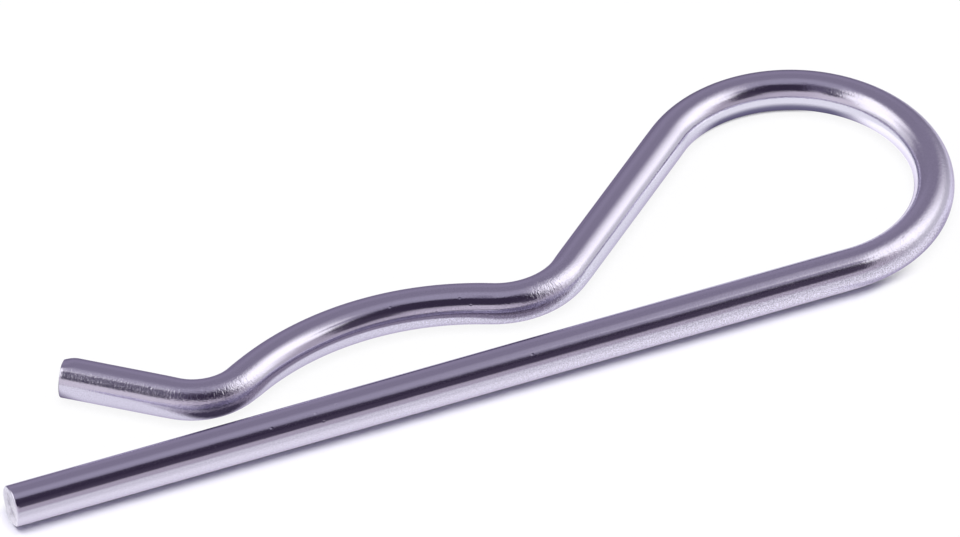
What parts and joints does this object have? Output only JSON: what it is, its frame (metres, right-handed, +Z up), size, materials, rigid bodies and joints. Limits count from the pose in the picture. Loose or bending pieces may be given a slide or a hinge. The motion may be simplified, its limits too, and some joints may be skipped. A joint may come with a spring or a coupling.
{
  "type": "hitch r clip pin",
  "caption": "Spring-wire R clip with a straight leg, an open loop and a waved spring leg with a turned-up tip, which locks a hitch pin or shaft.",
  "frame": {"origin": "on the axis of the straight leg, at the centre of the shaft under the crown of the saddle", "axes": "+X along the straight leg to the loop, +Y from the straight leg to the spring leg, +Z up, with the clip lying flat"},
  "size_m": [0.0766, 0.0235, 0.003],
  "materials": {
    "plated_wire": "polished"
  },
  "bodies": {
    "root": {"r_clip": "plated_wire"}
  },
  "joints": []
}
